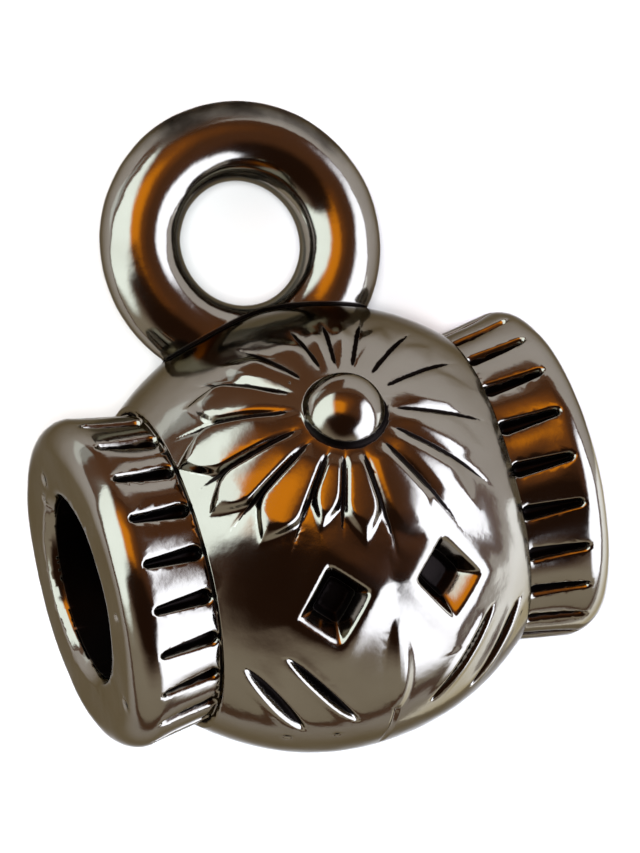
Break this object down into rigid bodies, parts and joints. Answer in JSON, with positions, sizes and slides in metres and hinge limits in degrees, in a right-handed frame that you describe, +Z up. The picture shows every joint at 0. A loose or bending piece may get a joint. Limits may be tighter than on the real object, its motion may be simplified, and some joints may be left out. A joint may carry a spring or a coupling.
{
  "type": "bail finding",
  "caption": "Barrel-shaped bail bead in antique-silver metal: a plain bore for a cord, fluted collars, flowers and diamonds on the belly, and a round loop for a pendant's jump ring",
  "frame": {"origin": "Middle of the bore, on its axis.", "axes": "+Z is up from the surface that the bail rests on, and +Y is the side on which the loop lies. It is modelled as it rests by itself: on the back flower's knob, the loop and the rim at +X, with the bore's axis in the XZ plane and its +X end tipped down."},
  "size_m": [0.0128, 0.0134, 0.0106],
  "materials": {
    "antique_silver": "polished antique-silver plating on cast white metal, with black patina left in the recesses"
  },
  "bodies": {
    "root": {"bail": "antique_silver"}
  },
  "joints": []
}
